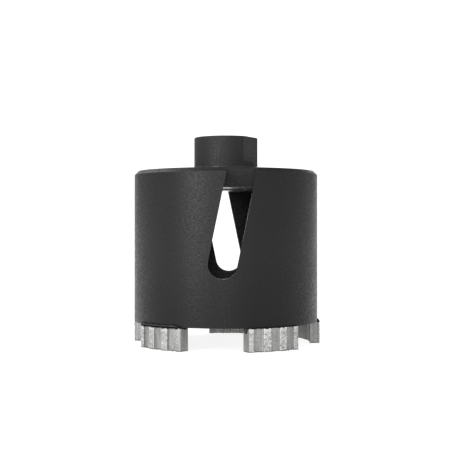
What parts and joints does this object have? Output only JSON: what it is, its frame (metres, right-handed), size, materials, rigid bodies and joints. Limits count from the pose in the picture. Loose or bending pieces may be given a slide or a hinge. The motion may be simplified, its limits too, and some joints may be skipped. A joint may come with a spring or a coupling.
{
  "type": "diamond core bit",
  "caption": "Slotted steel tube closed by a threaded adapter, with ribbed diamond segments on its lower edge, for dry drilling of masonry.",
  "frame": {"origin": "on the axis, at the hub's upper face, where the spindle thread opens", "axes": "+Z along the axis out of the thread, towards the machine; the slots are milled along Y"},
  "size_m": [0.0812, 0.0814, 0.0896],
  "materials": {
    "coated_tube": "black coating, semi-matt",
    "coated_adapter": "black coating, semi-matt",
    "sintered_segment": "sintered metal with diamond grit, rough"
  },
  "bodies": {
    "root": {"barrel": "coated_tube", "adapter": "coated_adapter", "segment_1": "sintered_segment", "segment_2": "sintered_segment", "segment_3": "sintered_segment", "segment_4": "sintered_segment", "segment_5": "sintered_segment"}
  },
  "joints": []
}
